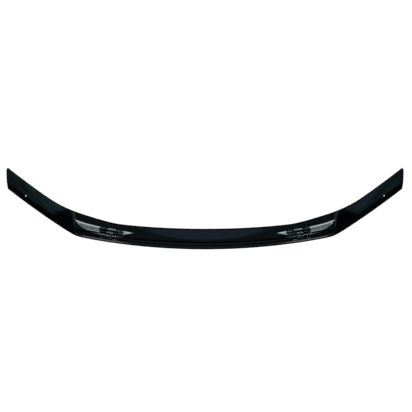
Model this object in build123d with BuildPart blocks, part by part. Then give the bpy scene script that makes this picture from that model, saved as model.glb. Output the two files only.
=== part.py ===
"""Hood bug deflector: a one-piece smoke acrylic shield that wraps the front edge of a hood,
with a clamp for the hood's lip near each end of the nose.

The frame is the vehicle's: X across, Y to the rear, Z up. The origin is the lowest point of the
shield's front edge on the centre line. All sizes are in millimetres.
"""

from build123d import *
from math import cos, hypot, pi
import os

# Shield: plan and front view of its two long edges
half_width = 750  # centre line to the tip of a wing
plan_radius = 1600  # crown of the nose, seen from above
wing_sweep = 0.62  # extra run to the rear for each mm past a corner
nose_corner = 459  # centre line to the corner of the lower edge
nose_softness = 16.5
nose_arch_radius = 5650  # rise of the lower edge, seen from the front
nose_climb = 0.122  # extra rise of the lower edge for each mm past its corner
top_corner = 448  # centre line to the corner of the upper edge
top_softness = 79
top_arch_radius = 20000
top_climb = 0.251
shoulder_at = 427  # centre line to the swelling of the upper edge ahead of the corner
shoulder_reach = 138
shoulder_height = 10

# Shield: cross-section
wall = 3
visor_depth = 39  # lower edge to upper edge, to the rear
visor_height = 65.4  # lower edge to upper edge, upwards
lip_height = 27.5  # lower edge to the crease under the visor
lip_lean = 4.5  # how far the crease stands behind the lower edge
lip_fold_height = 14  # lower edge to the faint fold half-way up the lip
lip_fold_lean = 1.5
flange_depth = 22  # return under the hood's edge
flange_end_depth = 12  # the same at the end of a wing
nose_radius = 7
lip_fold_radius = 10
crease_radius = 15
rim_radius = 1

# Shield: ends and fixing holes
end_slant = 0.15  # how far an end edge leans out for each mm of height
tip_radius = 9
wing_hole_from_end = 89  # tip of a wing to its fixing hole, along the car's width
wing_hole_radius = 3.5
wing_hole_over_crease = 1.5

# Mounting plate: a crescent bonded behind the visor
plate_thickness = 2
bond_gap = 0.3  # adhesive film, and the clearance between pieces that only touch
plate_inner_tip = 276  # centre line to the inner tip
plate_inner_full = 312  # centre line to where the lower edge levels out
plate_outer_full = 412  # centre line to where it begins to rise again
plate_outer_tip = 454
plate_low_share = 0.16  # crease to the lower edge, as a share of the visor's rise at the clamp
plate_inner_share = 0.29  # crease to the upper edge at the inner tip, as such a share
plate_outer_share = 0.45
plate_tip_share = 0.93  # how much of each taper is kept before the tip is cut blunt

# Clamp: heights over the shield's lower edge, lengths across from the clamp's centre
clamp_at = 344  # centre line to the clamp
jaw_thickness = 7.5
jaw_over_flange = 3.5
jaw_inner = 36
jaw_outer = 43
jaw_front = 20  # lower edge of the shield to the front of the jaw's arms
jaw_rear = 50
tongue_inner = 14
tongue_outer = 21
tongue_front = 10
pad_thickness = 1
lip_gap = 6  # opening for the hood's lip
lip_grip = 14  # how deep the lip goes in from the rear
corner_round = 1.5
face_thickness = 5
face_front = 22
rail_height = 3
inner_block_width = 23
inner_block_height = 18
outer_block_width = 24
outer_block_height = 19.5
block_gap = 5  # between the outer block and the slotted bridge
bridge_width = 29
slot_height = 7
slot_over_rail = 1
slot_wall = 6
heel_inner = 24
heel_outer = 14

# Fasteners
screw_radius = 2.5
screw_clearance = 0.25
thread_gap = 0.05
screw_length = 25
screw_head_radius = 4.5
screw_head_height = 3
screw_behind = 32  # lower edge of the shield to the clamp screws
inner_screw = -25.5
outer_screw = 18
nut_across = 8
nut_height = 4
nut_end_room = 1  # screw end past its nut
nut_clearance = 0.2
driver_across = 3
driver_depth = 1.6
small_radius = 2
small_head_radius = 4
small_head_height = 2.4
small_length = 11.5
small_behind = 15.5
small_inner = -5
small_outer = 12
small_driver_across = 2.5
small_driver_depth = 1.2
washer_thickness = 1
washer_radius = 4.5
tape_margin = 1

# Stations of the loft, from the centre line out
nose_steps = 5
corner_reach = 75
corner_steps = 8
wing_steps = 5
end_overrun = 25  # the loft runs on past the tips and is cut back
plate_steps = 6


def bend(x, at, softness):
    """Distance past a pair of soft corners at -at and +at, nothing on the centre line."""
    right = (x - at + hypot(x - at, softness)) / 2
    left = (-x - at + hypot(x + at, softness)) / 2
    middle = hypot(at, softness) - at
    return right + left - middle


def nose_point(x):
    """The shield's lowest front corner in the section at x."""
    past_corner = bend(x, nose_corner, nose_softness)
    y = x**2 / (2 * plan_radius) + wing_sweep * past_corner
    z = x**2 / (2 * nose_arch_radius) + nose_climb * past_corner
    return Vector(x, y, z)


def rim_point(x):
    """The shield's upper edge in the section at x."""
    past_corner = bend(x, top_corner, top_softness)
    from_shoulder = (abs(x) - shoulder_at) / shoulder_reach
    swelling = shoulder_height * cos(pi * from_shoulder / 2) ** 2 if abs(from_shoulder) < 1 else 0
    y = visor_depth + x**2 / (2 * plan_radius) + wing_sweep * past_corner
    z = visor_height + x**2 / (2 * top_arch_radius) + top_climb * past_corner + swelling
    return Vector(x, y, z)


def front_line(x):
    """Front face of the section at x: flange end, nose, fold, crease and upper edge."""
    nose = nose_point(x)
    rim = rim_point(x)
    past_corner = bend(x, nose_corner, nose_softness)
    wing_share = past_corner / bend(half_width, nose_corner, nose_softness)
    flange = flange_depth - (flange_depth - flange_end_depth) * wing_share
    return [
        Vector(nose.Y + flange, nose.Z),
        Vector(nose.Y, nose.Z),
        Vector(nose.Y + lip_fold_lean, nose.Z + lip_fold_height),
        Vector(nose.Y + lip_lean, nose.Z + lip_height),
        Vector(rim.Y, rim.Z),
    ]


def moved_back(x, points, depth):
    """A section line moved to the rear, by a depth measured square to the shield's face."""
    run = nose_point(x + 1) - nose_point(x)
    moved = []
    legs = []
    for start, end in zip(points, points[1:]):
        along = (end - start).normalized()
        stretch = hypot(1, run.Y * along.Y - run.Z * along.X)
        legs.append((start, along, Vector(along.Y, -along.X) * depth * stretch))
    start, along, side = legs[0]
    moved.append(start + side)
    for before, after in zip(legs, legs[1:]):
        start, along, side = before
        next_start, next_along, next_side = after
        gap = next_start + next_side - start - side
        turn = along.X * next_along.Y - along.Y * next_along.X
        reach = (gap.X * next_along.Y - gap.Y * next_along.X) / turn
        moved.append(start + side + along * reach)
    moved.append(points[-1] + legs[-1][2])
    return moved


def visor_strip(x, near, far, overrun):
    """Strip of the section at x between two depths behind the visor's front face."""
    crease, rim = front_line(x)[3:]
    along = (rim - crease).normalized()
    line = [crease - along * overrun, rim + along * overrun]
    return moved_back(x, line, near) + moved_back(x, line, far)[::-1]


def spread(start, end, steps):
    """Evenly spaced values from start up to, but not with, end."""
    return [start + (end - start) * i / steps for i in range(steps)]


corner_start = nose_corner - corner_reach
corner_end = nose_corner + corner_reach
loft_end = half_width + end_overrun
one_side = spread(0, corner_start, nose_steps)
one_side += spread(corner_start, corner_end, corner_steps)
one_side += spread(corner_end, loft_end, wing_steps) + [loft_end]
stations = [-x for x in one_side[:0:-1]] + one_side

# Frame of the right-hand clamp: along the nose, to the rear, and square to the flange
clamp_run = nose_point(clamp_at + 1) - nose_point(clamp_at - 1)
clamp_floor = clamp_run.cross(Vector(0, 1, 0))
clamp = Plane(origin=nose_point(clamp_at), x_dir=clamp_run, z_dir=clamp_floor)
clamp_face = Plane(
    origin=clamp.from_local_coords(Vector(0, face_front, 0)),
    x_dir=clamp.x_dir,
    z_dir=-clamp.y_dir,
)

tape_bottom = wall + bond_gap
jaw_bottom = wall + jaw_over_flange
jaw_top = jaw_bottom + jaw_thickness
pad_top = jaw_top + pad_thickness
body_bottom = pad_top + lip_gap
rail_top = body_bottom + rail_height
washer_top = -bond_gap / 3
washer_bottom = washer_top - washer_thickness
screw_spots = [(inner_screw, screw_behind), (outer_screw, screw_behind)]
small_spots = [(small_inner, small_behind), (small_outer, small_behind)]
nut_bottom = jaw_bottom + screw_length - nut_end_room - nut_height
pad_front = jaw_rear - lip_grip
tall = 10 * body_bottom


def circles(radius, height, spots):
    """A circle at each spot of the right-hand clamp, at a height over the shield's lower edge."""
    with BuildSketch(clamp.offset(height)) as drawn:
        with Locations(*spots):
            Circle(radius)
    return drawn.sketch


# Shield
with BuildPart() as drill:
    extrude(circles(small_radius + screw_clearance, -wall, small_spots), amount=3 * wall)

wing_hole_at = half_width - wing_hole_from_end
hole_run = nose_point(wing_hole_at + 1) - nose_point(wing_hole_at)
hole_line = front_line(wing_hole_at)
lip_way = (hole_line[3] - hole_line[2]).normalized()
visor_way = (hole_line[4] - hole_line[3]).normalized()
hole_way = (lip_way + visor_way).normalized()
hole_spot = hole_line[3] + visor_way * wing_hole_over_crease
hole_normal = hole_run.cross(Vector(0, hole_way.X, hole_way.Y)).normalized()

with BuildPart() as wing_drill:
    hole_plane = Plane(origin=(wing_hole_at, hole_spot.X, hole_spot.Y), z_dir=hole_normal)
    with BuildSketch(hole_plane):
        Circle(wing_hole_radius)
    extrude(amount=3 * wall, both=True)

with BuildPart() as shield:
    for x in stations:
        front = front_line(x)
        rear = moved_back(x, front, wall)
        with BuildSketch(Plane.YZ.offset(x)):
            with BuildLine():
                FilletPolyline(
                    *front,
                    *rear[::-1],
                    radius=[
                        rim_radius,
                        nose_radius,
                        lip_fold_radius,
                        crease_radius,
                        rim_radius,
                        rim_radius,
                        crease_radius - wall,
                        lip_fold_radius - wall,
                        nose_radius - wall,
                        rim_radius,
                    ],
                    close=True,
                )
            make_face()
    loft()
    tip = rim_point(half_width)
    past_tip = rim_point(half_width - 3 * tip_radius)
    with BuildSketch(Plane.XZ):
        with BuildLine():
            FilletPolyline(
                (half_width - end_slant * tip.Z, 0),
                (half_width, tip.Z),
                (past_tip.X, past_tip.Z),
                (past_tip.X, 2 * tip.Z),
                (2 * half_width, 2 * tip.Z),
                (2 * half_width, 0),
                radius=[0, tip_radius, 0, 0, 0, 0],
                close=True,
            )
        make_face()
        mirror(about=Plane.YZ)
    extrude(amount=2 * half_width, both=True, mode=Mode.SUBTRACT)
    add(drill.part, mode=Mode.SUBTRACT)
    mirror(drill.part, about=Plane.YZ, mode=Mode.SUBTRACT)
    add(wing_drill.part, mode=Mode.SUBTRACT)
    mirror(wing_drill.part, about=Plane.YZ, mode=Mode.SUBTRACT)

shield.part.label = "shield"

# Mounting plate
visor_rise = rim_point(clamp_at).Z - front_line(clamp_at)[3].Y
plate_start = plate_inner_tip - wall
plate_end = plate_outer_tip + wall
plate_stations = spread(plate_start, plate_end, plate_steps) + [plate_end]
plate_xs = spread(plate_inner_tip, plate_inner_full, plate_steps)
plate_xs += spread(plate_inner_full, plate_outer_full, plate_steps)
plate_xs += spread(plate_outer_full, plate_outer_tip, plate_steps) + [plate_outer_tip]
plate_front = wall + bond_gap
plate_rear = plate_front + plate_thickness
upper_edge = []
lower_edge = []
for x in plate_xs:
    inner_taper = (plate_inner_full - x) / (plate_inner_full - plate_inner_tip)
    outer_taper = (x - plate_outer_full) / (plate_outer_tip - plate_outer_full)
    taper = max(inner_taper, outer_taper, 0)
    outward = (x - plate_inner_tip) / (plate_outer_tip - plate_inner_tip)
    rise_share = plate_inner_share + (plate_outer_share - plate_inner_share) * outward
    crease_height = front_line(x)[3].Y
    upper = crease_height + visor_rise * rise_share
    lowest = crease_height + visor_rise * plate_low_share
    upper_edge.append((x, upper))
    lower_edge.append((x, upper - (upper - lowest) * cos(pi / 2 * plate_tip_share * taper)))

with BuildPart() as mount_plate:
    for x in plate_stations:
        with BuildSketch(Plane.YZ.offset(x)):
            with BuildLine():
                Polyline(*visor_strip(x, plate_front, plate_rear, 0), close=True)
            make_face()
    loft()
    with BuildSketch(Plane.XZ):
        with BuildLine():
            Spline(*upper_edge)
            Spline(*lower_edge)
            Line(upper_edge[0], lower_edge[0])
            Line(upper_edge[-1], lower_edge[-1])
        make_face()
    extrude(amount=2 * half_width, both=True, mode=Mode.INTERSECT)

# Room that the shield and its mounting plate take, with the bond gap behind them
with BuildPart() as visor_room:
    for x in plate_stations:
        with BuildSketch(Plane.YZ.offset(x)):
            with BuildLine():
                strip = visor_strip(x, -tall, plate_rear + bond_gap, tall)
                Polyline(*strip, close=True)
            make_face()
    loft()

# Clamp body: a slotted bridge on a rail between two blocks
outer_block_start = screw_spots[1][0] - screw_head_radius
outer_block_end = outer_block_start + outer_block_width
bridge_end = outer_block_start - block_gap
bridge_start = bridge_end - bridge_width
inner_block_start = inner_screw - inner_block_width + screw_head_radius
with BuildPart() as clamp_body:
    with BuildSketch(clamp_face):
        with Locations((inner_block_start, body_bottom)):
            Rectangle(outer_block_end - inner_block_start, rail_height, align=Align.MIN)
        with Locations((bridge_start, body_bottom)):
            Rectangle(bridge_width, outer_block_height, align=Align.MIN)
        with Locations((-heel_inner, jaw_top + bond_gap)):
            Rectangle(heel_inner - heel_outer, lip_gap + pad_thickness, align=Align.MIN)
        with Locations((bridge_start + slot_wall, rail_top + slot_over_rail)):
            Rectangle(bridge_width, slot_height, align=Align.MIN, mode=Mode.SUBTRACT)
    extrude(amount=-face_thickness)
    with BuildSketch(clamp.offset(body_bottom)) as inner_block:
        with Locations((inner_block_start, face_front)):
            Rectangle(inner_block_width, jaw_rear - face_front, align=Align.MIN)
        fillet(inner_block.vertices(), corner_round)
    extrude(amount=inner_block_height)
    with BuildSketch(clamp.offset(body_bottom)) as outer_block:
        with Locations((outer_block_start, face_front)):
            Rectangle(outer_block_width, jaw_rear - face_front, align=Align.MIN)
        fillet(outer_block.vertices(), corner_round)
    extrude(amount=outer_block_height)
    add(visor_room.part, mode=Mode.SUBTRACT)
    extrude(
        circles(screw_radius + screw_clearance, body_bottom, screw_spots),
        amount=tall,
        mode=Mode.SUBTRACT,
    )
    with BuildSketch(clamp.offset(nut_bottom)):
        with Locations(*screw_spots):
            RegularPolygon(nut_across / 2 + nut_clearance, 6, major_radius=False)
    extrude(amount=tall, mode=Mode.SUBTRACT)

# Clamp jaw: a tongue over the flange between two arms
with BuildPart() as clamp_jaw:
    with BuildSketch(clamp.offset(jaw_bottom)) as jaw_plan:
        with Locations((-jaw_inner, jaw_front)):
            Rectangle(jaw_inner + jaw_outer, jaw_rear - jaw_front, align=Align.MIN)
        with Locations((-tongue_inner, tongue_front)):
            Rectangle(tongue_inner + tongue_outer, jaw_rear - tongue_front, align=Align.MIN)
        fillet(jaw_plan.vertices(), corner_round)
    extrude(amount=jaw_thickness)
    extrude(
        circles(screw_radius + screw_clearance, jaw_bottom, screw_spots),
        amount=jaw_thickness,
        mode=Mode.SUBTRACT,
    )
    extrude(
        circles(small_radius + thread_gap, jaw_bottom, small_spots),
        amount=small_length + washer_bottom + screw_clearance - jaw_bottom,
        mode=Mode.SUBTRACT,
    )

# Rubber pad on the jaw
with BuildPart() as jaw_pad:
    with BuildSketch(clamp.offset(jaw_top)) as pad_plan:
        with Locations((-jaw_inner, pad_front)):
            Rectangle(jaw_inner + jaw_outer, lip_grip, align=Align.MIN)
        fillet(pad_plan.vertices(), corner_round)
    extrude(amount=pad_thickness)

# Foam tape between the flange and the jaw's tongue
with BuildPart() as foam_tape:
    with BuildSketch(clamp.offset(tape_bottom)):
        with Locations((tape_margin - tongue_inner, tongue_front)):
            Rectangle(
                tongue_inner + tongue_outer - 2 * tape_margin,
                2 * (small_behind - tongue_front),
                align=Align.MIN,
            )
        with Locations(*small_spots):
            Circle(small_radius + screw_clearance, mode=Mode.SUBTRACT)
    extrude(amount=jaw_bottom - tape_bottom)

pieces = {
    "mount_plate": mount_plate.part,
    "clamp_body": clamp_body.part,
    "clamp_jaw": clamp_jaw.part,
    "jaw_pad": jaw_pad.part,
    "foam_tape": foam_tape.part,
}

# Clamp screws from below, with their nuts in the body, and the flange's screws and washers
for place, spot, small_spot in zip(("inner", "outer"), screw_spots, small_spots):
    with BuildPart() as clamp_screw:
        extrude(circles(screw_radius, jaw_bottom, [spot]), amount=screw_length)
        extrude(circles(screw_head_radius, jaw_bottom, [spot]), amount=-screw_head_height)
        with BuildSketch(clamp.offset(jaw_bottom - screw_head_height)):
            with Locations(spot):
                RegularPolygon(driver_across / 2, 6, major_radius=False)
        extrude(amount=driver_depth, mode=Mode.SUBTRACT)
    with BuildPart() as clamp_nut:
        with BuildSketch(clamp.offset(nut_bottom)):
            with Locations(spot):
                RegularPolygon(nut_across / 2, 6, major_radius=False)
                Circle(screw_radius + thread_gap, mode=Mode.SUBTRACT)
        extrude(amount=nut_height)
    with BuildPart() as flange_screw:
        extrude(circles(small_radius, washer_bottom, [small_spot]), amount=small_length)
        extrude(circles(small_head_radius, washer_bottom, [small_spot]), amount=-small_head_height)
        with BuildSketch(clamp.offset(washer_bottom - small_head_height)):
            with Locations(small_spot):
                RegularPolygon(small_driver_across / 2, 6, major_radius=False)
        extrude(amount=small_driver_depth, mode=Mode.SUBTRACT)
    with BuildPart() as flange_washer:
        with BuildSketch(clamp.offset(washer_bottom)):
            with Locations(small_spot):
                Circle(washer_radius)
                Circle(small_radius + screw_clearance, mode=Mode.SUBTRACT)
        extrude(amount=washer_thickness)
    pieces[f"clamp_screw_{place}"] = clamp_screw.part
    pieces[f"clamp_nut_{place}"] = clamp_nut.part
    pieces[f"flange_screw_{place}"] = flange_screw.part
    pieces[f"flange_washer_{place}"] = flange_washer.part

# The right-hand clamp as it is, the left-hand one mirrored across the centre line
os.makedirs("parts", exist_ok=True)
export_step(shield.part, "parts/shield.step")
for name, piece in pieces.items():
    piece.label = f"{name}_right"
    export_step(piece, f"parts/{name}_right.step")
    with BuildPart() as opposite:
        mirror(piece, about=Plane.YZ)
    opposite.part.label = f"{name}_left"
    export_step(opposite.part, f"parts/{name}_left.step")
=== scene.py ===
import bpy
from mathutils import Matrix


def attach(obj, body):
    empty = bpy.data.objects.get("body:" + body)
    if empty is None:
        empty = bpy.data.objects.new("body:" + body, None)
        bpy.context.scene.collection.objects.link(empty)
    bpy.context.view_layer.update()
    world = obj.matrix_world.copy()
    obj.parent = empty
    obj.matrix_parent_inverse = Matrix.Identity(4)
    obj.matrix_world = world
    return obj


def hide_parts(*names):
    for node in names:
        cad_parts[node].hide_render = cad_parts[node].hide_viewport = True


bl_info = {
    "name": "Hood Bug Deflector",
    "version": (1, 0, 0),
    "blender": (4, 5, 0),
    "location": "View3D > Sidebar > Deflector",
    "description": "Dresses a smoke acrylic hood deflector and its two clamps, and lights them",
    "category": "Object",
}

from math import cos, hypot, pi, radians, sin, tan

import bpy
from bpy.props import FloatProperty, FloatVectorProperty, PointerProperty
from mathutils import Matrix, Vector

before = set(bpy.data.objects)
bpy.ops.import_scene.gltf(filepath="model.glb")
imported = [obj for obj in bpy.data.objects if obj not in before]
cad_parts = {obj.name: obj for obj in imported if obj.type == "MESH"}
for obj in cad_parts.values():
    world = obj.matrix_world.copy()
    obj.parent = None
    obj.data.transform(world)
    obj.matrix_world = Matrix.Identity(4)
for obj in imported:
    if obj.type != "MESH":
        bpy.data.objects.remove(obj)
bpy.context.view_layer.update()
SIDES = {"right": 1, "left": -1}

# Rows up the visor, as shares of its height, close together at the top, where its edge rolls back
VISOR_SHARES = [i / 13 * 0.92 for i in range(14)] + [0.94, 0.96, 0.98, 1]
VISOR_ROWS = len(VISOR_SHARES) - 1
# Steps of a section along its four runs and round its three corners, and round a wing's tip
RUN_STEPS = (3, 3, 3, VISOR_ROWS)
ARC_STEPS = (10, 6, 9)
TIP_STEPS = 12
# Stretches of the sheet with close columns: from, to, and their space. Elsewhere they stand wide.
CLOSE_COLUMNS = ((0.42, 0.5, 0.003), (0.37, 0.55, 0.006))
WIDE_COLUMNS = 0.0125
OVERRUN = 0.02  # how far the blank sheet runs past the tips of the wings
# Columns of a window's outline, how much of its height a tip loses, and how late
WINDOW_COLUMNS = 90
TIP_LOSS = 0.97
TIP_POWER = 1.8
# Depths between which the cutters reach, and the block past a wing's end: low, high and width
WINDOW_CUT = (-0.1, 0.5)
END_CUT = (-0.2, 0.8)
END_BLOCK = (-0.1, 0.4, 0.2)
# Small screws through the flange: from the clamp's middle along the nose, from the lower edge to
# the rear, and the radius of their holes
FLANGE_SCREWS = (-0.005, 0.012)
FLANGE_SCREW_BEHIND = 0.0155
FLANGE_HOLE_RADIUS = 0.00225

# How solids are cleaned and rounded: points closer than WELD are joined, faces flatter than FLAT
# too, edges sharper than SHARP are rounded, and shading is smooth below SMOOTH
WELD = 0.00001
FLAT = radians(0.8)
SHARP = radians(35)
SMOOTH = radians(40)
SHEET_SHARP = radians(60)
SHEET_SMOOTH = radians(30)
BEVEL_SEGMENTS = 3
CUTTER_SIDES = 40
ROUNDINGS = {
    "mount_plate": 0.0004,
    "clamp_body": 0.0005,
    "clamp_jaw": 0.0006,
    "jaw_pad": 0.0003,
    "foam_tape": 0.0006,
    "clamp_screw": 0.0003,
    "flange_screw": 0.0002,
    "clamp_nut": 0.0003,
    "flange_washer": 0.0002,
}
ACRYLIC_IOR = 1.49
# Grained finishes: colour setting, roughness, scale and depth of the grain, metallic, worn colour
NYLON = ("nylon", 0.42, 1300.0, 0.00006, 0.0, (0.016, 0.017, 0.018))
GRAINED = {
    "Black nylon": NYLON,
    # Nylon with pale dust on its upper faces, which also paints a highlight on them
    "Dusty nylon": NYLON,
    "Black rubber": ("rubber", 0.72, 800.0, 0.00012, 0.0, (0.05, 0.05, 0.05)),
    "Black foam": ("foam", 0.92, 1100.0, 0.0003, 0.0, (0.03, 0.03, 0.03)),
    "Black steel": ("black_steel", 0.3, 1600.0, 0.00002, 1.0, (0.1, 0.1, 0.1)),
    "Zinc steel": ("zinc", 0.28, 1400.0, 0.00002, 1.0, (0.7, 0.71, 0.69)),
}
DUST_AND_HIGHLIGHT_LIES = 0.9  # least upward part of a face's normal where pale dust lies and a highlight is painted

# What the shield mirrors, by direction. Up and forward are as they say, and across is away from
# the middle to either side. A strip is given by its bounds and the blur of its ends.
STUDIO = (0.012, 0.022, 0.026)
SURROUND = (0.4, 0.4, 0.4)
IN_FRONT = (0.2, 0.7)
# Two low strips in front, which the two faces of the lip show: colour, and up
LIP_STRIPS = (
    ((0.21, 0.26, 0.265), (-0.03, 0.035, 0.015)),
    ((0.22, 0.26, 0.265), (-0.31, -0.13, 0.015)),
)
# The bright part of the lower one, and a glint for the crease: colour, across, and up
GLINTS = (
    ((2.8, 3.0, 3.1), (0.38, 0.62, 0.04), (-0.29, -0.21, 0.02)),
    ((4.4, 4.8, 5.0), (0.335, 0.424, 0.01), (0.5, 0.68, 0.02)),
)
# A streak at the corners, in the same order
STREAK = ((0.32, 0.5, 0.56), (0.585, 0.645, 0.03), (0.782, 0.87, 0.015))
# A dim ceiling beside the panel, and how much higher it begins where the clamps are
CEILING = (0.07, 0.115, 0.145)
CEILING_FROM = (0.77, 0.83)
CEILING_TOP = (0.945, 0.965)
CEILING_END = (0.46, 0.6)
CEILING_LIFT = 0.09
LIFT_FROM = (0.2, 0.27)
LIFT_TO = (0.3, 0.48)
# A panel over the front, whose lower and upper edges bow with the square of across
PANEL = (0.24, 0.34, 0.49)
PANEL_FROM = 0.812
PANEL_BLUR = 0.007
PANEL_BOW = 2.2
PANEL_TOP = (0.9, 0.92)
PANEL_TOP_BOW = 0.5
PANEL_DIMS = (0.12, 0.27, 0.3)  # across from and to, and what is left
PANEL_END = (0.24, 0.4)
# A pale backdrop behind the object
BACKDROP_BEHIND = (-0.4, -0.25)
BACKDROP_TOP = (0.35, 0.55)

# Floor: its middle, its size, and where it begins to be mirrored
FLOOR_MIDDLE = 5.25
FLOOR_SIZE = (14, 13.5)
FLOOR_MIRRORED = (5.0, 8.0)
# Lamp overhead: its place, what it faces, and its size
LAMP_PLACE = (0, 0.75, 2.3)
LAMP_AIM = (0, 0.1, 0)
LAMP_SIZE = (2.4, 1.1)
# Side panels: blur of the inner end and run of the fade, both from there, then the front edge
# and how it slants outwards from a place
SIDE_BLUR = 0.03
SIDE_FADE_RUN = (0.09, 0.34)
SIDE_FRONT = (0.175, 0.21)
SIDE_SLANT = 0.35
SIDE_SLANT_FROM = 1.25


def length(name, description, default):
    """A size in metres that the panel shows."""
    return FloatProperty(
        name=name, description=description, default=default, unit="LENGTH", precision=4
    )


def colour(name, description, default):
    """A linear colour that the panel shows."""
    return FloatVectorProperty(
        name=name, description=description, default=default, subtype="COLOR", min=0, max=1, size=3
    )


class ShieldSizes(bpy.types.PropertyGroup):
    """Lines of the shield, the same as in the solids."""

    half_width: length("Half width", "Centre line to the tip of a wing", 0.75)
    plan_radius: length("Plan radius", "Crown of the nose, seen from above", 1.6)
    wing_sweep: FloatProperty(
        name="Wing sweep", description="Extra run to the rear past a corner", default=0.62
    )
    nose_corner: length("Nose corner", "Centre line to the corner of the lower edge", 0.459)
    nose_softness: length("Nose softness", "How gently the lower edge turns", 0.0165)
    nose_arch: length("Nose arch", "Radius of the lower edge, seen from the front", 5.65)
    nose_climb: FloatProperty(
        name="Nose climb", description="Extra rise of the lower edge past its corner", default=0.122
    )
    top_corner: length("Top corner", "Centre line to the corner of the upper edge", 0.448)
    top_softness: length("Top softness", "How gently the upper edge turns", 0.079)
    top_arch: length("Top arch", "Radius of the upper edge, seen from the front", 20)
    top_climb: FloatProperty(
        name="Top climb", description="Extra rise of the upper edge past its corner", default=0.251
    )
    shoulder_at: length("Shoulder", "Centre line to the swelling of the upper edge", 0.427)
    shoulder_reach: length("Shoulder reach", "Half the length of that swelling", 0.138)
    shoulder_height: length("Shoulder height", "Height of that swelling", 0.01)
    wall: length("Wall", "Thickness of the acrylic sheet", 0.003)
    visor_depth: length("Visor depth", "Lower edge to upper edge, to the rear", 0.039)
    visor_height: length("Visor height", "Lower edge to upper edge, upwards", 0.0654)
    lip_height: length("Lip height", "Lower edge to the crease", 0.0275)
    lip_lean: length("Lip lean", "How far the crease stands behind the lower edge", 0.0045)
    fold_height: length("Fold height", "Lower edge to the faint fold of the lip", 0.014)
    fold_lean: length("Fold lean", "How far the fold stands behind the lower edge", 0.0015)
    flange_depth: length("Flange depth", "Return under the hood's edge", 0.022)
    flange_end_depth: length("Flange end depth", "The same at the end of a wing", 0.012)
    nose_radius: length("Nose radius", "Rounding of the lower edge", 0.007)
    fold_radius: length("Fold radius", "Rounding of the faint fold, wide and soft", 0.09)
    crease_radius: length("Crease radius", "Rounding of the crease under the visor", 0.015)
    rim_radius: length("Rim radius", "Rounding of the long edges", 0.001)
    rim_roll: length("Rim roll", "How far the upper edge rolls back over its last strip", 0.0009)
    rim_strip: length("Rim strip", "Depth of that strip", 0.005)
    end_slant: FloatProperty(
        name="End slant", description="How far an end edge leans out as it rises", default=0.15
    )
    tip_radius: length("Tip radius", "Rounding of a wing's upper tip", 0.009)
    wing_hole_from_end: length("Wing hole from end", "Tip of a wing to its fixing hole", 0.089)
    wing_hole_radius: length("Wing hole radius", "Radius of a fixing hole", 0.0035)
    wing_hole_over_crease: length("Wing hole over crease", "Crease to the hole's centre", 0.0015)
    clamp_at: length("Clamp place", "Centre line to a clamp", 0.344)


class WindowSizes(bpy.types.PropertyGroup):
    """Clear smoke windows in front of the clamps, which the rest of the sheet doesn't have."""

    inner_tip: length("Inner tip", "Centre line to the inner tip of a crescent", 0.254)
    inner_full: length("Inner full", "Centre line to where the lower edge levels out", 0.302)
    outer_full: length("Outer full", "Centre line to where the lower edge begins to rise", 0.41)
    outer_tip: length("Outer tip", "Centre line to the outer tip of a crescent", 0.464)
    low: length("Low", "Crease to the lower edge of a crescent", 0.0038)
    inner_height: length("Inner height", "Crease to the upper edge at the inner tip", 0.0152)
    outer_height: length("Outer height", "Crease to the upper edge at the outer tip", 0.0228)
    lobe_inner: length("Lobe inner", "Centre line to the inner end of the clamp's patch", 0.304)
    lobe_outer: length("Lobe outer", "Centre line to the outer end of the clamp's patch", 0.374)
    lobe_bottom: length("Lobe bottom", "Lower edge of the shield to that patch", 0.0135)
    lobe_corner: length("Lobe corner", "How gently that patch ends at each side", 0.004)
    # The lighter rim along a window's upper edge is a painted highlight: a lighter tint there
    rim_highlight_depth: length("Rim depth", "Depth of the lighter rim along its upper edge", 0.005)
    crown: length("Crown", "How far the visor bulges between its edges", 0.0006)
    joint: length("Joint", "Hair of space between the sheet and its window", 0.00006)


class Finishes(bpy.types.PropertyGroup):
    """Colours of the sheet, its windows and the clamps."""

    sheet: colour("Sheet", "Dark smoke acrylic", (0.0012, 0.0020, 0.0022))
    window: colour("Window", "What a clear part of the sheet lets through", (0.25, 0.30, 0.31))
    # A window's upper rim gets a lighter tint, which is a painted highlight
    window_rim_highlight: colour("Window rim", "What its upper rim lets through", (0.42, 0.46, 0.47))
    plate: colour("Plate", "What a mounting plate lets through", (0.42, 0.45, 0.45))
    nylon: colour("Nylon", "Moulded clamp", (0.006, 0.0065, 0.007))
    # Pale dust on a clamp's upper faces, which also paints a highlight on them
    dust: colour("Dust", "Dust that lies on a clamp's upper faces", (0.75, 0.78, 0.78))
    rubber: colour("Rubber", "Pad of the jaw", (0.012, 0.012, 0.012))
    foam: colour("Foam", "Foam tape", (0.018, 0.018, 0.019))
    black_steel: colour("Black steel", "Blackened screws", (0.03, 0.03, 0.032))
    zinc: colour("Zinc", "Plated nuts and washers", (0.55, 0.56, 0.57))


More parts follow.
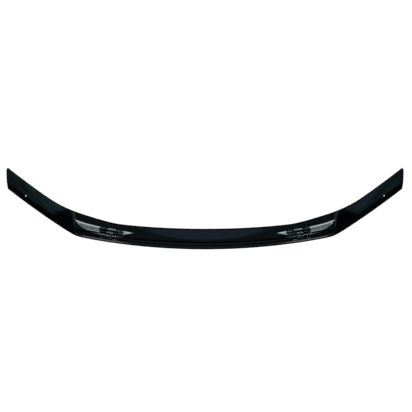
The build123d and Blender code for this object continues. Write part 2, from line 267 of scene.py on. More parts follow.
class StageSettings(bpy.types.PropertyGroup):
    """Floor, lamps and camera."""

    distance: length("Distance", "Camera to the object's middle", 3.9)
    elevation: FloatProperty(
        name="Elevation",
        description="Camera over the horizon",
        default=radians(24),
        subtype="ANGLE",
    )
    target: FloatVectorProperty(
        name="Target",
        description="Where the camera looks",
        default=(0.0037, 0.117, 0.1171),
        subtype="TRANSLATION",
        size=3,
    )
    focal: length("Focal length", "Lens on a 36 mm sensor", 0.09602)
    floor_drop: length("Floor drop", "Floor below the object", 1.0)
    floor_colour: colour("Floor", "Pale floor", (0.8, 0.8, 0.8))
    key_level: FloatProperty(
        name="Key level", description="Brightness of the lamp overhead", default=4.0
    )
    side_inner: FloatVectorProperty(
        name="Side panel's inner end",
        description="Middle of that edge",
        default=(1.13, 0.3, 0.831),
        size=3,
    )
    side_outer: FloatVectorProperty(
        name="Side panel's outer end",
        description="Middle of that edge",
        default=(1.75, 0.42, 0.53),
        size=3,
    )
    side_half_depth: length("Side panel's half depth", "Half of its depth", 0.24)
    side_fade: FloatProperty(
        name="Side fade", description="What is left of its brightness at the outer end", default=0.5
    )
    side_colour: colour("Side colour", "Cool colour of the side panels", (0.16, 0.34, 0.42))


def look():
    """The finishes that the panel shows."""
    return bpy.context.scene.deflector_finishes


# Lines of the shield


def bend(x, at, softness):
    """Distance past a pair of soft corners at -at and +at, nothing on the centre line."""
    right = (x - at + hypot(x - at, softness)) / 2
    left = (-x - at + hypot(x + at, softness)) / 2
    return right + left - hypot(at, softness) + at


def nose_point(s, x):
    """The lowest front corner of the section at x."""
    past = bend(x, s.nose_corner, s.nose_softness)
    y = x**2 / (2 * s.plan_radius) + s.wing_sweep * past
    return Vector((x, y, x**2 / (2 * s.nose_arch) + s.nose_climb * past))


def rim_point(s, x):
    """The upper edge of the section at x."""
    past = bend(x, s.top_corner, s.top_softness)
    away = (abs(x) - s.shoulder_at) / s.shoulder_reach
    swelling = s.shoulder_height * cos(pi * away / 2) ** 2 if abs(away) < 1 else 0
    y = s.visor_depth + x**2 / (2 * s.plan_radius) + s.wing_sweep * past
    return Vector((x, y, s.visor_height + x**2 / (2 * s.top_arch) + s.top_climb * past + swelling))


def front_line(s, x):
    """Corners of the front face in the section at x, from the flange's end to the upper edge."""
    nose = nose_point(s, x)
    rim = rim_point(s, x)
    past = bend(x, s.nose_corner, s.nose_softness)
    share = past / bend(s.half_width, s.nose_corner, s.nose_softness)
    flange = s.flange_depth - (s.flange_depth - s.flange_end_depth) * share
    return [
        Vector((nose.y + flange, nose.z)),
        Vector((nose.y, nose.z)),
        Vector((nose.y + s.fold_lean, nose.z + s.fold_height)),
        Vector((nose.y + s.lip_lean, nose.z + s.lip_height)),
        Vector((rim.y, rim.z)),
    ]


def rounded(points, radii, run_steps, arc_steps):
    """Points along a line whose inner corners are rounded, the same number whatever its shape."""
    line = [points[0]]
    for before, corner, after, radius, runs, arcs in zip(
        points, points[1:], points[2:], radii, run_steps, arc_steps
    ):
        along = (corner - before).normalized()
        onward = (after - corner).normalized()
        turn = along.angle(onward)
        side = Vector((-along.y, along.x)) * (1 if along.cross(onward) > 0 else -1)
        start = corner - along * radius * tan(turn / 2)
        last = line[-1]
        line += [last.lerp(start, i / runs) for i in range(1, runs + 1)]
        for i in range(1, arcs + 1):
            angle = turn * i / arcs
            line.append(start + (along * sin(angle) + side * (1 - cos(angle))) * radius)
    last = line[-1]
    runs = run_steps[-1]
    return line + [last.lerp(points[-1], i / runs) for i in range(1, runs + 1)]


def column_space(x):
    """Space from the column at x to the next one, less at the corners, where the sheet turns."""
    for low, high, space in CLOSE_COLUMNS:
        if low < x < high:
            return space
    return WIDE_COLUMNS


def sheet_columns(reach):
    """Places of the columns across the sheet."""
    places = [0.0]
    while places[-1] < reach:
        places.append(places[-1] + column_space(places[-1]))
    places[-1] = reach
    return [-x for x in places[:0:-1]] + places


# Modelling helpers


def deselect():
    """Nothing is selected and no edit is open."""
    if bpy.context.object and bpy.context.object.mode != "OBJECT":
        bpy.ops.object.mode_set(mode="OBJECT")
    bpy.ops.object.select_all(action="DESELECT")


def pick(piece):
    """This piece alone is selected and active."""
    deselect()
    piece.select_set(True)
    bpy.context.view_layer.objects.active = piece


def finish_with(piece, kind, **settings):
    """Adds a modifier with its settings and applies it."""
    pick(piece)
    modifier = piece.modifiers.new(kind.title(), kind)
    for name, value in settings.items():
        setattr(modifier, name, value)
    bpy.ops.object.modifier_apply(modifier=modifier.name)


def edit_all(piece, *steps):
    """Runs edit-mode steps on the whole mesh of a piece."""
    pick(piece)
    bpy.ops.object.mode_set(mode="EDIT")
    bpy.ops.mesh.select_all(action="SELECT")
    for step, settings in steps:
        step(**settings)
    bpy.ops.object.mode_set(mode="OBJECT")


def copied(piece, name):
    """A copy of a piece with its own mesh."""
    twin = bpy.data.objects.new(name, piece.data.copy())
    bpy.context.scene.collection.objects.link(twin)
    return twin


def prism(outline, near, far):
    """A block with this outline in X and Z, from one depth to another."""
    deselect()
    bpy.ops.mesh.primitive_circle_add(vertices=len(outline), radius=1, fill_type="NGON")
    block = bpy.context.object
    for vertex, (x, z) in zip(block.data.vertices, outline):
        vertex.co = (x, near, z)
    along = {"value": (0, far - near, 0)}
    edit_all(
        block,
        (bpy.ops.mesh.extrude_region_move, {"TRANSFORM_OT_translate": along}),
        (bpy.ops.mesh.select_all, {"action": "SELECT"}),
        (bpy.ops.mesh.normals_make_consistent, {"inside": False}),
    )
    return block


def drill(centre, axis, radius, depth):
    """A round cutter along an axis."""
    deselect()
    bpy.ops.mesh.primitive_cylinder_add(vertices=CUTTER_SIDES, radius=radius, depth=depth)
    cutter = bpy.context.object
    turn = Vector((0, 0, 1)).rotation_difference(axis).to_matrix().to_4x4()
    cutter.data.transform(Matrix.Translation(centre) @ turn)
    return cutter


def cut(piece, cutters, operation="DIFFERENCE"):
    """Cuts a piece with several cutters at once and removes them."""
    deselect()
    for cutter in cutters:
        cutter.select_set(True)
    bpy.context.view_layer.objects.active = cutters[0]
    if len(cutters) > 1:
        bpy.ops.object.join()
    tool = bpy.context.object
    finish_with(piece, "BOOLEAN", operation=operation, solver="EXACT", object=tool)
    bpy.data.objects.remove(tool)


def smooth(piece, angle):
    """Shades a piece smooth where its faces meet at less than an angle."""
    pick(piece)
    bpy.ops.object.shade_smooth_by_angle(angle=angle)


def hand_in(piece, finish, slot, *nodes):
    """Gives a finished piece its material and its body, and hides the nodes that it stands for."""
    piece.data.materials.clear()
    piece.data.materials.append(finish)
    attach(piece, "root")
    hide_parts(*nodes)


def dressed(kind, end, finish, slot):
    """A copy of a solid with its edges rounded."""
    solid = f"{kind}_{end}"
    piece = copied(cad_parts[solid], solid + "_finished")
    pick(piece)
    bpy.ops.mesh.customdata_custom_splitnormals_clear()
    edit_all(
        piece,
        (bpy.ops.mesh.remove_doubles, {"threshold": WELD}),
        (bpy.ops.mesh.dissolve_limited, {"angle_limit": FLAT}),
    )
    finish_with(
        piece,
        "BEVEL",
        width=ROUNDINGS[kind],
        segments=BEVEL_SEGMENTS,
        limit_method="ANGLE",
        angle_limit=SHARP,
        miter_outer="MITER_ARC",
    )
    smooth(piece, SMOOTH)
    finish_with(piece, "WEIGHTED_NORMAL", keep_sharp=True)
    hand_in(piece, finish, slot, solid)
    return piece


def crowned(line, s, height):
    """The same line with its last run bulged forward, and rolled back at the upper edge."""
    start = line[-VISOR_ROWS - 1]
    run = line[-1] - start
    out = Vector((-run.y, run.x)).normalized()
    visor = []
    for share in VISOR_SHARES:
        past = max(0, 1 - run.length * (1 - share) / s.rim_strip)
        bulge = 4 * height * share * (1 - share) - s.rim_roll * past**2
        visor.append(start + run * share + out * bulge)
    return line[: -VISOR_ROWS - 1] + visor


def blank_sheet(s, crown):
    """The sheet with its full thickness, longer than the wings and without its holes."""
    columns = sheet_columns(s.half_width + OVERRUN)
    radii = [s.nose_radius, s.fold_radius, s.crease_radius]
    sections = []
    for x in columns:
        line = rounded(front_line(s, x), radii, RUN_STEPS, ARC_STEPS)
        sections.append(crowned(line, s, crown))
    rows = len(sections[0])
    deselect()
    bpy.ops.mesh.primitive_grid_add(
        x_subdivisions=len(columns) - 1, y_subdivisions=rows - 1, size=1
    )
    sheet = bpy.context.object
    if len(sheet.data.vertices) != rows * len(columns):
        raise RuntimeError("the grid has another number of points than the sheet's lines")
    for index, vertex in enumerate(sheet.data.vertices):
        row, column = divmod(index, len(columns))
        y, z = sections[column][row]
        vertex.co = (columns[column], y, z)
    sheet.data.update()
    middle = max(sheet.data.polygons, key=lambda face: face.center.z - abs(face.center.x))
    if middle.normal.y > 0:
        edit_all(sheet, (bpy.ops.mesh.flip_normals, {}))
    finish_with(
        sheet,
        "SOLIDIFY",
        thickness=s.wall,
        offset=-1,
        use_even_offset=True,
        use_quality_normals=True,
    )
    finish_with(
        sheet,
        "BEVEL",
        width=s.rim_radius,
        segments=BEVEL_SEGMENTS,
        limit_method="ANGLE",
        angle_limit=SHEET_SHARP,
    )
    return sheet


def end_outline(s, side):
    """What is trimmed off past a wing's slanted end and its round tip."""
    tip = rim_point(s, s.half_width)
    back = rim_point(s, s.half_width - 3 * s.tip_radius)
    low, high, width = END_BLOCK
    beyond = s.half_width + width
    points = [
        Vector((s.half_width - s.end_slant * (tip.z - low), low)),
        Vector((s.half_width, tip.z)),
        Vector((back.x, back.z)),
    ]
    edge = rounded(points, [s.tip_radius], (1, 1), (TIP_STEPS,))
    edge += [Vector((back.x, high)), Vector((beyond, high)), Vector((beyond, low))]
    return [(side * x, z) for x, z in edge]


def window_outline(s, w, side, inset):
    """Outline of a clear window: a crescent, and a patch below it over the clamp."""
    width = w.outer_tip - w.inner_tip
    upper = []
    lower = []
    for i in range(WINDOW_COLUMNS + 1):
        x = w.inner_tip + inset + (width - 2 * inset) * i / WINDOW_COLUMNS
        along = (x - w.inner_tip) / width
        inner_taper = (w.inner_full - x) / (w.inner_full - w.inner_tip)
        outer_taper = (x - w.outer_full) / (w.outer_tip - w.outer_full)
        share = 1 - TIP_LOSS * max(inner_taper, outer_taper, 0) ** TIP_POWER
        crease = nose_point(s, x).z + s.lip_height
        top = crease + w.inner_height + (w.outer_height - w.inner_height) * along - inset
        bottom = top - (top - crease - w.low) * share
        into_lobe = min(x - w.lobe_inner, w.lobe_outer - x) / w.lobe_corner
        if into_lobe > 0:
            lowest = crease - s.lip_height + w.lobe_bottom
            depth = sin(pi / 2 * min(into_lobe, 1))
            bottom -= (bottom - lowest) * depth
        upper.append((side * x, top))
        lower.append((side * x, bottom + 2 * inset))
    return upper + lower[::-1]


def clamp_frame(s):
    """Place and directions of the right-hand clamp: along the nose, to the rear, and up."""
    run = (nose_point(s, s.clamp_at + 0.001) - nose_point(s, s.clamp_at - 0.001)).normalized()
    up = run.cross(Vector((0, 1, 0))).normalized()
    return nose_point(s, s.clamp_at), run, up.cross(run), up


def flange_drills(s, side):
    """Cutters for the two small screws through the flange under a clamp."""
    origin, run, rear, up = clamp_frame(s)
    cutters = []
    for across in FLANGE_SCREWS:
        centre = origin + run * across + rear * FLANGE_SCREW_BEHIND
        cutters.append(
            drill(
                Vector((side * centre.x, centre.y, centre.z)),
                Vector((side * up.x, up.y, up.z)),
                FLANGE_HOLE_RADIUS,
                4 * s.wall,
            )
        )
    return cutters


def wing_drill(s, side):
    """Cutter for the fixing hole of a wing."""
    at = s.half_width - s.wing_hole_from_end
    run = nose_point(s, at + 0.001) - nose_point(s, at)
    fold, crease, rim = front_line(s, at)[2:]
    visor_way = (rim - crease).normalized()
    way = ((crease - fold).normalized() + visor_way).normalized()
    spot = crease + visor_way * s.wing_hole_over_crease
    normal = run.cross(Vector((0, way.x, way.y))).normalized()
    centre = Vector((side * at, spot.x, spot.y))
    axis = Vector((side * normal.x, normal.y, normal.z))
    return drill(centre, axis, s.wing_hole_radius, 6 * s.wall)


# Materials


def node(tree, kind, **settings):
    """A node with its options set."""
    made = tree.nodes.new("ShaderNode" + kind)
    for name, value in settings.items():
        setattr(made, name, value)
    return made


def plug(tree, socket, value):
    """Links another node's output to a socket, or sets the socket to a plain value."""
    if isinstance(value, bpy.types.NodeSocket):
        tree.links.new(value, socket)
    else:
        socket.default_value = value


def feed(tree, made, **inputs):
    """Sets or links a node's inputs by name, and returns the node."""
    for name, value in inputs.items():
        plug(tree, made.inputs[name.replace("_", " ")], value)
    return made


def rise(tree, value, low, high, start=0.0, end=1.0):
    """A soft step, from start at the low bound to end at the high one."""
    step = node(tree, "MapRange", interpolation_type="SMOOTHSTEP")
    feed(tree, step, Value=value, From_Min=low, From_Max=high, To_Min=start, To_Max=end)
    return step.outputs["Result"]


def fall(tree, value, low, high, end=0.0):
    """A soft step down from one."""
    return rise(tree, value, low, high, 1.0, end)


def step_of(tree, operation, first, second=0.0):
    """One step of arithmetic."""
    made = node(tree, "Math", operation=operation)
    for socket, value in zip(made.inputs, (first, second)):
        plug(tree, socket, value)
    return made.outputs[0]


def product(tree, first, *others):
    """Values multiplied together."""
    for other in others:
        first = step_of(tree, "MULTIPLY", first, other)
    return first


def place_in(tree, kind="Object"):
    """The three parts of a place on the piece, or of a direction in the world."""
    place = node(tree, "TexCoord").outputs[kind]
    return feed(tree, node(tree, "SeparateXYZ"), Vector=place).outputs


def new_group(name, inputs, outputs):
    """An empty node group with its named sockets."""
    group = bpy.data.node_groups.new(name, "ShaderNodeTree")
    for label, kind, default in inputs:
        socket = group.interface.new_socket(label, in_out="INPUT", socket_type=kind)
        socket.default_value = default
    for label, kind in outputs:
        group.interface.new_socket(label, in_out="OUTPUT", socket_type=kind)
    return group, group.nodes.new("NodeGroupInput"), group.nodes.new("NodeGroupOutput")


def tone_drift():
    """Slow change of a colour over a piece."""
    name = "Tone drift"
    if name in bpy.data.node_groups:
        return bpy.data.node_groups[name]
    group, into, out = new_group(
        name,
        [
            ("Colour", "NodeSocketColor", (0.5, 0.5, 0.5, 1)),
            ("Amount", "NodeSocketFloat", 0.1),
            ("Scale", "NodeSocketFloat", 10.0),
        ],
        [("Colour", "NodeSocketColor")],
    )
    place = node(group, "TexCoord").outputs["Object"]
    scale = into.outputs["Scale"]
    cloud = feed(group, node(group, "TexNoise"), Vector=place, Scale=scale, Detail=3.0)
    swing = step_of(group, "SUBTRACT", cloud.outputs["Fac"], 0.5)
    level = step_of(group, "ADD", product(group, swing, into.outputs["Amount"], 2.0), 1.0)
    tinted = node(group, "VectorMath", operation="SCALE")
    group.links.new(into.outputs["Colour"], tinted.inputs["Vector"])
    group.links.new(level, tinted.inputs["Scale"])
    group.links.new(tinted.outputs["Vector"], out.inputs["Colour"])
    return group


def fine_dust():
    """Sparse specks, and a faint haze between them."""
    name = "Fine dust"
    if name in bpy.data.node_groups:
        return bpy.data.node_groups[name]
    group, into, out = new_group(
        name,
        [("Scale", "NodeSocketFloat", 600.0), ("Amount", "NodeSocketFloat", 0.5)],
        [("Mask", "NodeSocketFloat")],
    )
    place = node(group, "TexCoord").outputs["Object"]
    specks = feed(group, node(group, "TexVoronoi"), Vector=place, Scale=into.outputs["Scale"])
    cloud = feed(group, node(group, "TexNoise"), Vector=place, Scale=14.0, Detail=5.0)
    dots = fall(group, specks.outputs["Distance"], 0.06, 0.16)
    where = rise(group, cloud.outputs["Fac"], 0.45, 0.75)
    haze = product(group, where, 0.12)
    both = step_of(group, "ADD", product(group, dots, where), haze)
    group.links.new(product(group, both, into.outputs["Amount"]), out.inputs["Mask"])
    return group


def hair_scratches():
    """Long thin wipe marks in two directions."""
    name = "Hair scratches"
    if name in bpy.data.node_groups:
        return bpy.data.node_groups[name]
    group, into, out = new_group(
        name, [("Scale", "NodeSocketFloat", 40.0)], [("Mask", "NodeSocketFloat")]
    )
    place = node(group, "TexCoord").outputs["Object"]
    marks = []
    for turn, stretch in ((0.5, (0.05, 3.0, 3.0)), (-0.9, (0.08, 2.4, 2.4))):
        mapping = node(group, "Mapping")
        group.links.new(place, mapping.inputs["Vector"])
        mapping.inputs["Rotation"].default_value = (turn * 0.4, turn, turn * 0.2)
        mapping.inputs["Scale"].default_value = stretch
        strand = feed(
            group,
            node(group, "TexNoise"),
            Vector=mapping.outputs["Vector"],
            Scale=into.outputs["Scale"],
            Detail=6.0,
            Roughness=0.7,
        )
        marks.append(rise(group, strand.outputs["Fac"], 0.66, 0.72))
    group.links.new(step_of(group, "MAXIMUM", *marks), out.inputs["Mask"])
    return group


def moulded_grain():
    """Fine pebbled grain of a moulded or rolled surface."""
    name = "Moulded grain"
    if name in bpy.data.node_groups:
        return bpy.data.node_groups[name]
    group, into, out = new_group(
        name,
        [("Scale", "NodeSocketFloat", 900.0), ("Softness", "NodeSocketFloat", 0.5)],
        [("Height", "NodeSocketFloat"), ("Mask", "NodeSocketFloat")],
    )
    place = node(group, "TexCoord").outputs["Object"]
    scale = into.outputs["Scale"]
    pebbles = feed(group, node(group, "TexVoronoi"), Vector=place, Scale=scale)
    noise = feed(group, node(group, "TexNoise"), Vector=place, Scale=scale, Detail=2.0)
    soft = product(group, noise.outputs["Fac"], into.outputs["Softness"])
    group.links.new(step_of(group, "ADD", pebbles.outputs["Distance"], soft), out.inputs["Height"])
    worn = feed(group, node(group, "TexNoise"), Vector=place, Scale=70.0, Detail=4.0)
    group.links.new(rise(group, worn.outputs["Fac"], 0.4, 0.7), out.inputs["Mask"])
    return group


def placed(tree, group, **inputs):
    """A node group placed in a material with its own values."""
    made = tree.nodes.new("ShaderNodeGroup")
    made.node_tree = group
    return feed(tree, made, **inputs)


def blank_material(name):
    """A material, its node tree and its Principled shader."""
    made = bpy.data.materials.new(name)
    made.use_nodes = True
    return made, made.node_tree, made.node_tree.nodes["Principled BSDF"]


def bumped(tree, shader, height, distance, strength=1.0):
    """Feeds a height to the shader's normal."""
    bump = feed(tree, node(tree, "Bump"), Height=height, Distance=distance, Strength=strength)
    tree.links.new(bump.outputs["Normal"], shader.inputs["Normal"])


def mixed(tree, factor, first, second):
    """One colour over another by a mask."""
    made = node(tree, "Mix", data_type="RGBA")
    for index, value in ((0, factor), (6, first), (7, second)):
        plug(tree, made.inputs[index], value)
    return made.outputs[2]


def sheet_finish():
    """Glossy dark smoke acrylic with a trace of dust and wipe marks."""
    name = "Smoke acrylic"
    if name in bpy.data.materials:
        return bpy.data.materials[name]
    made, tree, shader = blank_material(name)
    dust = placed(tree, fine_dust(), Scale=420.0, Amount=0.35).outputs["Mask"]
    marks = placed(tree, hair_scratches(), Scale=30.0).outputs["Mask"]
    base = placed(tree, tone_drift(), Colour=(*look().sheet, 1), Amount=0.25, Scale=9.0)
    tinted = mixed(tree, dust, base.outputs["Colour"], (0.02, 0.022, 0.024, 1))
    tree.links.new(tinted, shader.inputs["Base Color"])
    rough = step_of(tree, "ADD", product(tree, dust, 0.3), 0.035)
    rough = step_of(tree, "ADD", product(tree, marks, 0.05), rough)
    tree.links.new(rough, shader.inputs["Roughness"])
    shader.inputs["IOR"].default_value = ACRYLIC_IOR
    place = node(tree, "TexCoord").outputs["Object"]
    swell = feed(tree, node(tree, "TexNoise"), Vector=place, Scale=7.0, Detail=1.0)
    bumped(tree, shader, swell.outputs["Fac"], 0.0003)
    return made


def painted_rim_highlight(tree):
    """A mask along the upper edge of a window, where a painted highlight lightens its tint."""
    s = bpy.context.scene.deflector_shield
    w = bpy.context.scene.deflector_windows
    way = place_in(tree)
    across = step_of(tree, "ABSOLUTE", way["X"])
    slope = (w.outer_height - w.inner_height) / (w.outer_tip - w.inner_tip)
    arch = step_of(tree, "DIVIDE", product(tree, across, across), 2 * s.nose_arch)
    rise = product(tree, step_of(tree, "SUBTRACT", across, w.inner_tip), slope)
    edge = step_of(tree, "ADD", step_of(tree, "ADD", arch, rise), s.lip_height + w.inner_height)
    below = step_of(tree, "SUBTRACT", edge, way["Z"])
    return fall(tree, below, w.rim_highlight_depth * 0.7, w.rim_highlight_depth * 1.1)


def clear_finish(name, tint, roughness, rim=None):
    """See-through smoke sheet of uneven tint, with a painted highlight of lighter tint along its
    upper rim if a rim colour is given.
    """
    if name in bpy.data.materials:
        return bpy.data.materials[name]
    made, tree, shader = blank_material(name)
    base = placed(tree, tone_drift(), Colour=(*tint, 1), Amount=0.1, Scale=22.0).outputs["Colour"]
    if rim:
        # the rim colour paints a highlight along the window's upper edge
        base = mixed(tree, painted_rim_highlight(tree), base, (*rim, 1))
    marks = placed(tree, hair_scratches(), Scale=45.0).outputs["Mask"]
    tree.links.new(base, shader.inputs["Base Color"])
    tree.links.new(
        step_of(tree, "ADD", product(tree, marks, 0.05), roughness), shader.inputs["Roughness"]
    )
    shader.inputs["Transmission Weight"].default_value = 1.0
    shader.inputs["IOR"].default_value = ACRYLIC_IOR
    return made


def grained_finish(name):
    """A grained surface with paler worn places."""
    if name in bpy.data.materials:
        return bpy.data.materials[name]
    setting, roughness, scale, depth, metallic, worn = GRAINED[name]
    tint = getattr(look(), setting)
    made, tree, shader = blank_material(name)
    grain = placed(tree, moulded_grain(), Scale=scale, Softness=0.6)
    base = placed(tree, tone_drift(), Colour=(*tint, 1), Amount=0.2, Scale=60.0)
    wear = product(tree, grain.outputs["Mask"], 0.25)
    tinted = mixed(tree, wear, base.outputs["Colour"], (*worn, 1))
    tree.links.new(tinted, shader.inputs["Base Color"])
    rough = step_of(tree, "ADD", product(tree, grain.outputs["Mask"], 0.12), roughness)
    tree.links.new(rough, shader.inputs["Roughness"])
    shader.inputs["Metallic"].default_value = metallic
    bumped(tree, shader, grain.outputs["Height"], depth)
    return made


def nylon_finish(dust_and_highlight=None):
    """Black nylon, with pale dust and a painted highlight on the faces that the piece's attribute
    marks.
    """
    made = grained_finish("Dusty nylon" if dust_and_highlight else "Black nylon")
    tree = made.node_tree
    shader = tree.nodes["Principled BSDF"]
    if dust_and_highlight and not any(part.type == "ATTRIBUTE" for part in tree.nodes):
        # pale dust on the upward faces, which also paints a highlight there
        lies = node(tree, "Attribute", attribute_name=dust_and_highlight).outputs["Fac"]
        haze = placed(tree, fine_dust(), Scale=700.0, Amount=0.4).outputs["Mask"]
        mask = product(tree, lies, step_of(tree, "SUBTRACT", 1.0, haze))
        under = shader.inputs["Base Color"].links[0].from_socket
        tree.links.new(mixed(tree, mask, under, (*look().dust, 1)), shader.inputs["Base Color"])
    return made


def mark_dust_and_highlight(piece, name):
    """Marks the upward faces of a piece, on which dust lies and a highlight is painted."""
    marks = piece.data.attributes.new(name, "FLOAT", "FACE")
    for mark, face in zip(marks.data, piece.data.polygons):
        mark.value = float(face.normal.z > DUST_AND_HIGHLIGHT_LIES)


# Operators


class DEFLECTOR_OT_shield(bpy.types.Operator):
    """Model the shield's sheet, with its windows, its fixing holes and its trimmed ends"""

    bl_idname = "deflector.shield"
    bl_label = "Shield"

    def execute(self, context):
        s = context.scene.deflector_shield
        w = context.scene.deflector_windows
        sheet = blank_sheet(s, w.crown)
        sheet.name = "shield_sheet"
        # its lighter rim colour paints a highlight along each window's upper edge
        clear = clear_finish("Smoke window", look().window, 0.015, look().window_rim_highlight)
        for name, side in SIDES.items():
            window = copied(sheet, "shield_window_" + name)
            cut(window, [prism(window_outline(s, w, side, w.joint), *WINDOW_CUT)], "INTERSECT")
            smooth(window, SHEET_SMOOTH)
            hand_in(window, clear, "smoke_window", "shield")
        cutters = []
        for side in SIDES.values():
            cutters.append(prism(window_outline(s, w, side, 0), *WINDOW_CUT))
            cutters.append(prism(end_outline(s, side), *END_CUT))
            cutters.append(wing_drill(s, side))
            cutters += flange_drills(s, side)
        cut(sheet, cutters)
        smooth(sheet, SHEET_SMOOTH)
        hand_in(sheet, sheet_finish(), "smoke_acrylic", "shield")
        return {"FINISHED"}


class DEFLECTOR_OT_mount_plates(bpy.types.Operator):
    """Round the edges of the crescent plates bonded behind the windows"""

    bl_idname = "deflector.mount_plates"
    bl_label = "Mounting plates"

    def execute(self, context):
        finish = clear_finish("Smoke plate", look().plate, 0.05)
        for side in SIDES:
            dressed("mount_plate", side, finish, "smoke_window")
        return {"FINISHED"}


class DEFLECTOR_OT_clamps(bpy.types.Operator):
    """Round the edges of the moulded clamp bodies and jaws"""

    bl_idname = "deflector.clamps"
    bl_label = "Clamps"

    def execute(self, context):
        for side in SIDES:
            # the bodies get pale dust on their upward faces, which also paints a highlight there
            body = dressed("clamp_body", side, nylon_finish("dust_and_highlight"), "black_nylon")
            mark_dust_and_highlight(body, "dust_and_highlight")
            dressed("clamp_jaw", side, nylon_finish(), "black_nylon")
        return {"FINISHED"}


class DEFLECTOR_OT_pads(bpy.types.Operator):
    """Soften the rubber pads and foam tapes of the clamps"""

    bl_idname = "deflector.pads"
    bl_label = "Pads and tapes"

    def execute(self, context):
        for side in SIDES:
            dressed("jaw_pad", side, grained_finish("Black rubber"), "black_rubber")
            dressed("foam_tape", side, grained_finish("Black foam"), "black_foam")
        return {"FINISHED"}


class DEFLECTOR_OT_fasteners(bpy.types.Operator):
    """Round the edges of the screws, nuts and washers"""

    bl_idname = "deflector.fasteners"
    bl_label = "Fasteners"

    def execute(self, context):
        steel = grained_finish("Black steel")
        zinc = grained_finish("Zinc steel")
        for side in SIDES:
            for place in ("inner", "outer"):
                end = f"{place}_{side}"
                dressed("clamp_screw", end, steel, "black_steel")
                dressed("flange_screw", end, steel, "black_steel")
                dressed("clamp_nut", end, zinc, "zinc_steel")
                dressed("flange_washer", end, zinc, "zinc_steel")
        return {"FINISHED"}


def overhead_lamp(name, level):
    """A soft panel of even brightness over the object, which reflections don't show."""
    width, depth = LAMP_SIZE
    deselect()
    bpy.ops.object.light_add(type="AREA", location=LAMP_PLACE)
    lamp = bpy.context.object
    lamp.name = name
    lamp.data.shape = "RECTANGLE"
    lamp.data.size = width
    lamp.data.size_y = depth
    lamp.data.energy = level * pi * width * depth
    lamp.rotation_mode = "QUATERNION"
    lamp.rotation_quaternion = (Vector(LAMP_AIM) - Vector(LAMP_PLACE)).to_track_quat("-Z", "Y")
    lamp.visible_glossy = False


def ray_kinds(tree):
    """Masks of the rays that see the stage straight or through glass, and of its reflections."""
    path = node(tree, "LightPath").outputs
    plain = step_of(tree, "MAXIMUM", path["Diffuse Depth"], path["Glossy Depth"])
    unturned = step_of(tree, "LESS_THAN", plain, 0.5)
    through = product(tree, path["Is Transmission Ray"], unturned)
    seen = step_of(tree, "MAXIMUM", path["Is Camera Ray"], through)
    scattered = step_of(tree, "LESS_THAN", path["Diffuse Depth"], 0.5)
    mirrored = step_of(tree, "GREATER_THAN", path["Glossy Depth"], 0.5)
    return seen, product(tree, mirrored, scattered)


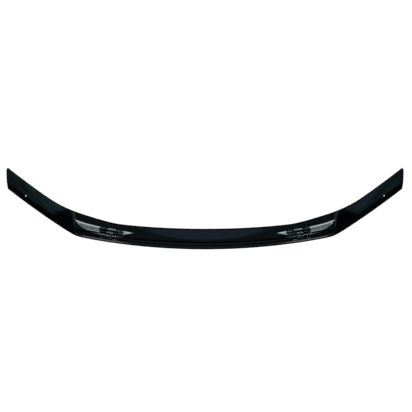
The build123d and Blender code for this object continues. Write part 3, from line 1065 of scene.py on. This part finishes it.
class DEFLECTOR_OT_stage(bpy.types.Operator):
    """Lay the floor, hang the lamps and place the camera"""

    bl_idname = "deflector.stage"
    bl_label = "Stage"

    def execute(self, context):
        t = context.scene.deflector_stage
        self.floor(t)
        self.world(context)
        self.lamps(t)
        self.camera(context, t)
        return {"FINISHED"}

    def floor(self, t):
        deselect()
        bpy.ops.mesh.primitive_plane_add(size=1, location=(0, FLOOR_MIDDLE, -t.floor_drop))
        floor = bpy.context.object
        floor.name = "floor"
        floor.scale = (*FLOOR_SIZE, 1)
        bpy.ops.object.transform_apply(location=True, rotation=False, scale=True)
        made, tree, shader = blank_material("Pale floor")
        shader.inputs["Roughness"].default_value = 0.9
        shader.inputs["Specular IOR Level"].default_value = 0.1
        seen, mirrored = ray_kinds(tree)
        base = placed(tree, tone_drift(), Colour=(*t.floor_colour, 1), Amount=0.01, Scale=0.6)
        direct = step_of(tree, "MAXIMUM", seen, mirrored)
        dim = mixed(tree, mirrored, (0.2, 0.2, 0.2, 1), (0.02, 0.02, 0.02, 1))
        tinted = mixed(tree, direct, base.outputs["Colour"], dim)
        tree.links.new(tinted, shader.inputs["Base Color"])
        far = rise(tree, place_in(tree)["Y"], *FLOOR_MIRRORED)
        shown = step_of(tree, "MAXIMUM", seen, product(tree, mirrored, far))
        glow = mixed(tree, shown, (0, 0, 0, 1), (0.95, 0.95, 0.95, 1))
        tree.links.new(glow, shader.inputs["Emission Color"])
        shader.inputs["Emission Strength"].default_value = 1.0
        floor.data.materials.append(made)

    def world(self, context):
        """White behind, plain grey all round for soft light, and a studio for reflections."""
        world = bpy.data.worlds.new("Studio")
        world.use_nodes = True
        context.scene.world = world
        tree = world.node_tree
        background = tree.nodes["Background"]
        seen, mirrored = ray_kinds(tree)
        way = place_in(tree, "Generated")
        across = step_of(tree, "ABSOLUTE", way["X"])
        forward = product(tree, way["Y"], -1.0)
        up = way["Z"]
        square = product(tree, across, across)
        studio = (*STUDIO, 1)

        def strip(value, low, high, blur):
            """One between two bounds, with blurred ends."""
            return product(
                tree,
                rise(tree, value, low - blur, low + blur),
                fall(tree, value, high - blur, high + blur),
            )

        def lay(colour_shown, *masks):
            """Lays a patch of colour over the studio."""
            return mixed(tree, product(tree, *masks), studio, (*colour_shown, 1))

        front = rise(tree, forward, *IN_FRONT)
        for colour_shown, bounds in LIP_STRIPS:
            studio = lay(colour_shown, front, strip(up, *bounds))
        for colour_shown, sideways, upward in GLINTS:
            studio = lay(colour_shown, strip(across, *sideways), strip(up, *upward))
        lift = product(
            tree,
            rise(tree, across, *LIFT_FROM, end=CEILING_LIFT),
            fall(tree, across, *LIFT_TO),
        )
        studio = lay(
            CEILING,
            rise(tree, step_of(tree, "SUBTRACT", up, lift), *CEILING_FROM),
            fall(tree, across, *CEILING_END),
            fall(tree, up, *CEILING_TOP),
        )
        colour_shown, sideways, upward = STREAK
        studio = lay(colour_shown, strip(across, *sideways), strip(up, *upward))
        over = step_of(tree, "SUBTRACT", up, PANEL_FROM)
        over = step_of(tree, "SUBTRACT", over, product(tree, square, PANEL_BOW))
        under = step_of(tree, "SUBTRACT", up, product(tree, square, PANEL_TOP_BOW))
        studio = lay(
            PANEL,
            rise(tree, over, -PANEL_BLUR, PANEL_BLUR),
            fall(tree, across, *PANEL_DIMS),
            fall(tree, across, *PANEL_END),
            fall(tree, under, *PANEL_TOP),
        )
        studio = lay(
            (1, 1, 1), fall(tree, forward, *BACKDROP_BEHIND), fall(tree, up, *BACKDROP_TOP)
        )
        around = mixed(tree, mirrored, (*SURROUND, 1), studio)
        shown = mixed(tree, seen, around, (1, 1, 1, 1))
        feed(tree, background, Color=shown, Strength=1.0)

    def lamps(self, t):
        overhead_lamp("overhead", t.key_level)
        for name, side in SIDES.items():
            self.side_panel(name, side, t)

    def side_panel(self, name, side, t):
        """A cool panel beside a wing that only reflections show, dimmer at its outer end."""
        deselect()
        bpy.ops.mesh.primitive_plane_add(size=1)
        panel = bpy.context.object
        panel.name = "side_panel_" + name
        inner = Vector(t.side_inner)
        outer = Vector(t.side_outer)
        half = Vector((0, 2 * t.side_half_depth, 0))
        corners = (inner - half, outer - half, inner + half, outer + half)
        for vertex, corner in zip(panel.data.vertices, corners):
            vertex.co = (side * corner.x, corner.y, corner.z)
        made, tree, shader = blank_material("Side panel " + name)
        shader.inputs["Base Color"].default_value = (0, 0, 0, 1)
        shader.inputs["Roughness"].default_value = 1.0
        shader.inputs["Specular IOR Level"].default_value = 0.0
        way = place_in(tree)
        across = step_of(tree, "ABSOLUTE", way["X"])
        near = rise(tree, across, inner.x, inner.x + SIDE_BLUR)
        fade_from, fade_to = (inner.x + run for run in SIDE_FADE_RUN)
        fade = fall(tree, across, fade_from, fade_to, t.side_fade)
        slant = product(tree, step_of(tree, "SUBTRACT", across, SIDE_SLANT_FROM), SIDE_SLANT)
        front = rise(tree, step_of(tree, "ADD", way["Y"], slant), *SIDE_FRONT)
        place = node(tree, "TexCoord").outputs["Object"]
        cloud = feed(tree, node(tree, "TexNoise"), Vector=place, Scale=9.0, Detail=2.0)
        patchy = rise(tree, cloud.outputs["Fac"], 0.3, 0.7, 0.7, 1.3)
        level = product(tree, near, fade, patchy, front)
        glow = mixed(tree, level, (0, 0, 0, 1), (*t.side_colour, 1))
        tree.links.new(glow, shader.inputs["Emission Color"])
        shader.inputs["Emission Strength"].default_value = 1.0
        panel.data.materials.append(made)
        panel.visible_camera = False
        panel.visible_diffuse = False
        panel.visible_transmission = False
        panel.visible_shadow = False

    def camera(self, context, t):
        deselect()
        back = Vector((0, -cos(t.elevation), sin(t.elevation)))
        bpy.ops.object.camera_add(
            location=Vector(t.target) + back * t.distance, rotation=(pi / 2 - t.elevation, 0, 0)
        )
        camera = bpy.context.object
        camera.data.sensor_width = 36
        camera.data.lens = t.focal * 1000
        camera.data.dof.use_dof = False
        camera.data.clip_end = 100
        context.scene.camera = camera
        context.scene.view_settings.view_transform = "Standard"


class DEFLECTOR_PT_panel(bpy.types.Panel):
    """Lists the pieces, their sizes and colours"""

    bl_label = "Hood Bug Deflector"
    bl_idname = "DEFLECTOR_PT_panel"
    bl_space_type = "VIEW_3D"
    bl_region_type = "UI"
    bl_category = "Deflector"

    def draw(self, context):
        layout = self.layout
        for operator in OPERATORS:
            layout.operator(operator.bl_idname)
        for name in SETTINGS:
            group = getattr(context.scene, name)
            box = layout.box()
            box.label(text=group.bl_rna.name)
            for label in group.__annotations__:
                box.prop(group, label)


SETTINGS = {
    "deflector_shield": ShieldSizes,
    "deflector_windows": WindowSizes,
    "deflector_finishes": Finishes,
    "deflector_stage": StageSettings,
}
OPERATORS = (
    DEFLECTOR_OT_shield,
    DEFLECTOR_OT_mount_plates,
    DEFLECTOR_OT_clamps,
    DEFLECTOR_OT_pads,
    DEFLECTOR_OT_fasteners,
    DEFLECTOR_OT_stage,
)


def register():
    for group in SETTINGS.values():
        bpy.utils.register_class(group)
    for operator in OPERATORS:
        bpy.utils.register_class(operator)
    bpy.utils.register_class(DEFLECTOR_PT_panel)
    for name, group in SETTINGS.items():
        setattr(bpy.types.Scene, name, PointerProperty(type=group))


def unregister():
    for name in SETTINGS:
        delattr(bpy.types.Scene, name)
    bpy.utils.unregister_class(DEFLECTOR_PT_panel)
    for operator in reversed(OPERATORS):
        bpy.utils.unregister_class(operator)
    for group in reversed(SETTINGS.values()):
        bpy.utils.unregister_class(group)


def main():
    """Makes every piece and the stage."""
    register()
    bpy.ops.deflector.shield()
    bpy.ops.deflector.mount_plates()
    bpy.ops.deflector.clamps()
    bpy.ops.deflector.pads()
    bpy.ops.deflector.fasteners()
    bpy.ops.deflector.stage()


if __name__ == "__main__":
    main()
